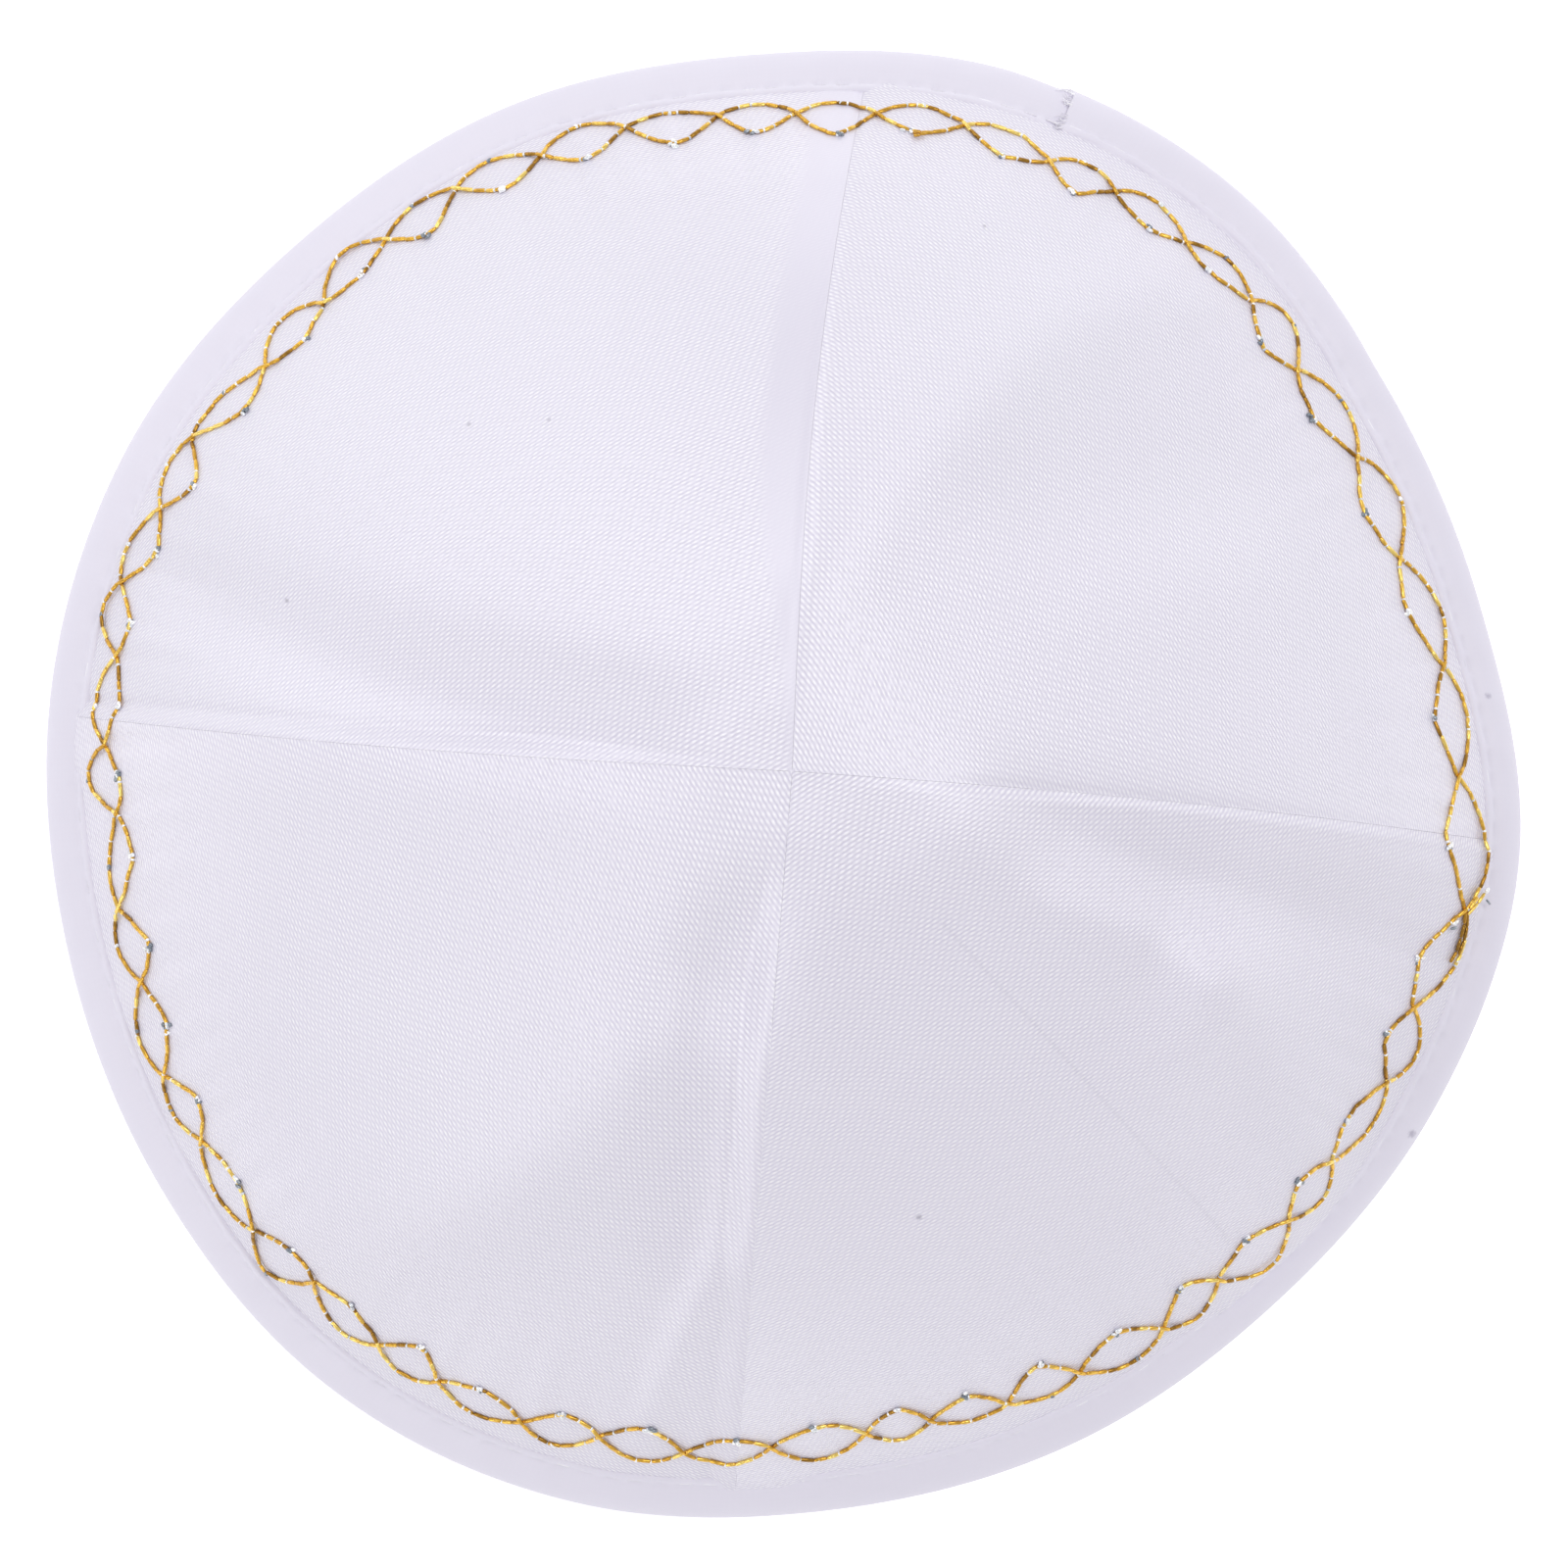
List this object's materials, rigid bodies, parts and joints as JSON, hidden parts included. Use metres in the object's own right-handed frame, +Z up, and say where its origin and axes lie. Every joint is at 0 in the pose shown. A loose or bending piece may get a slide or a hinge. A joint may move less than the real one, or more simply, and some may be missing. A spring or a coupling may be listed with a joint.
{
  "type": "kippah skullcap",
  "caption": "Round domed skullcap of four sewn satin gores with a folded tape bound over its rim, worn on the crown of the head.",
  "frame": {"origin": "middle of the cap's box, on the surface that its rim rests on", "axes": "+Z up through the crown, X along the left and right seams, Y along the front and back seams, +Y to the back"},
  "size_m": [0.1804, 0.181, 0.06],
  "materials": {
    "white_satin": "woven polyester satin with a soft sheen",
    "satin_tape": "smooth satin bias tape",
    "gold_thread": "metallised gold embroidery thread",
    "silver_thread": "metallised silver bobbin thread",
    "sewing_thread": "white polyester sewing thread"
  },
  "bodies": {
    "root": {"gore_back_right": "white_satin", "gore_back_left": "white_satin", "gore_front_left": "white_satin", "gore_front_right": "white_satin", "rim_binding": "satin_tape"}
  },
  "joints": []
}
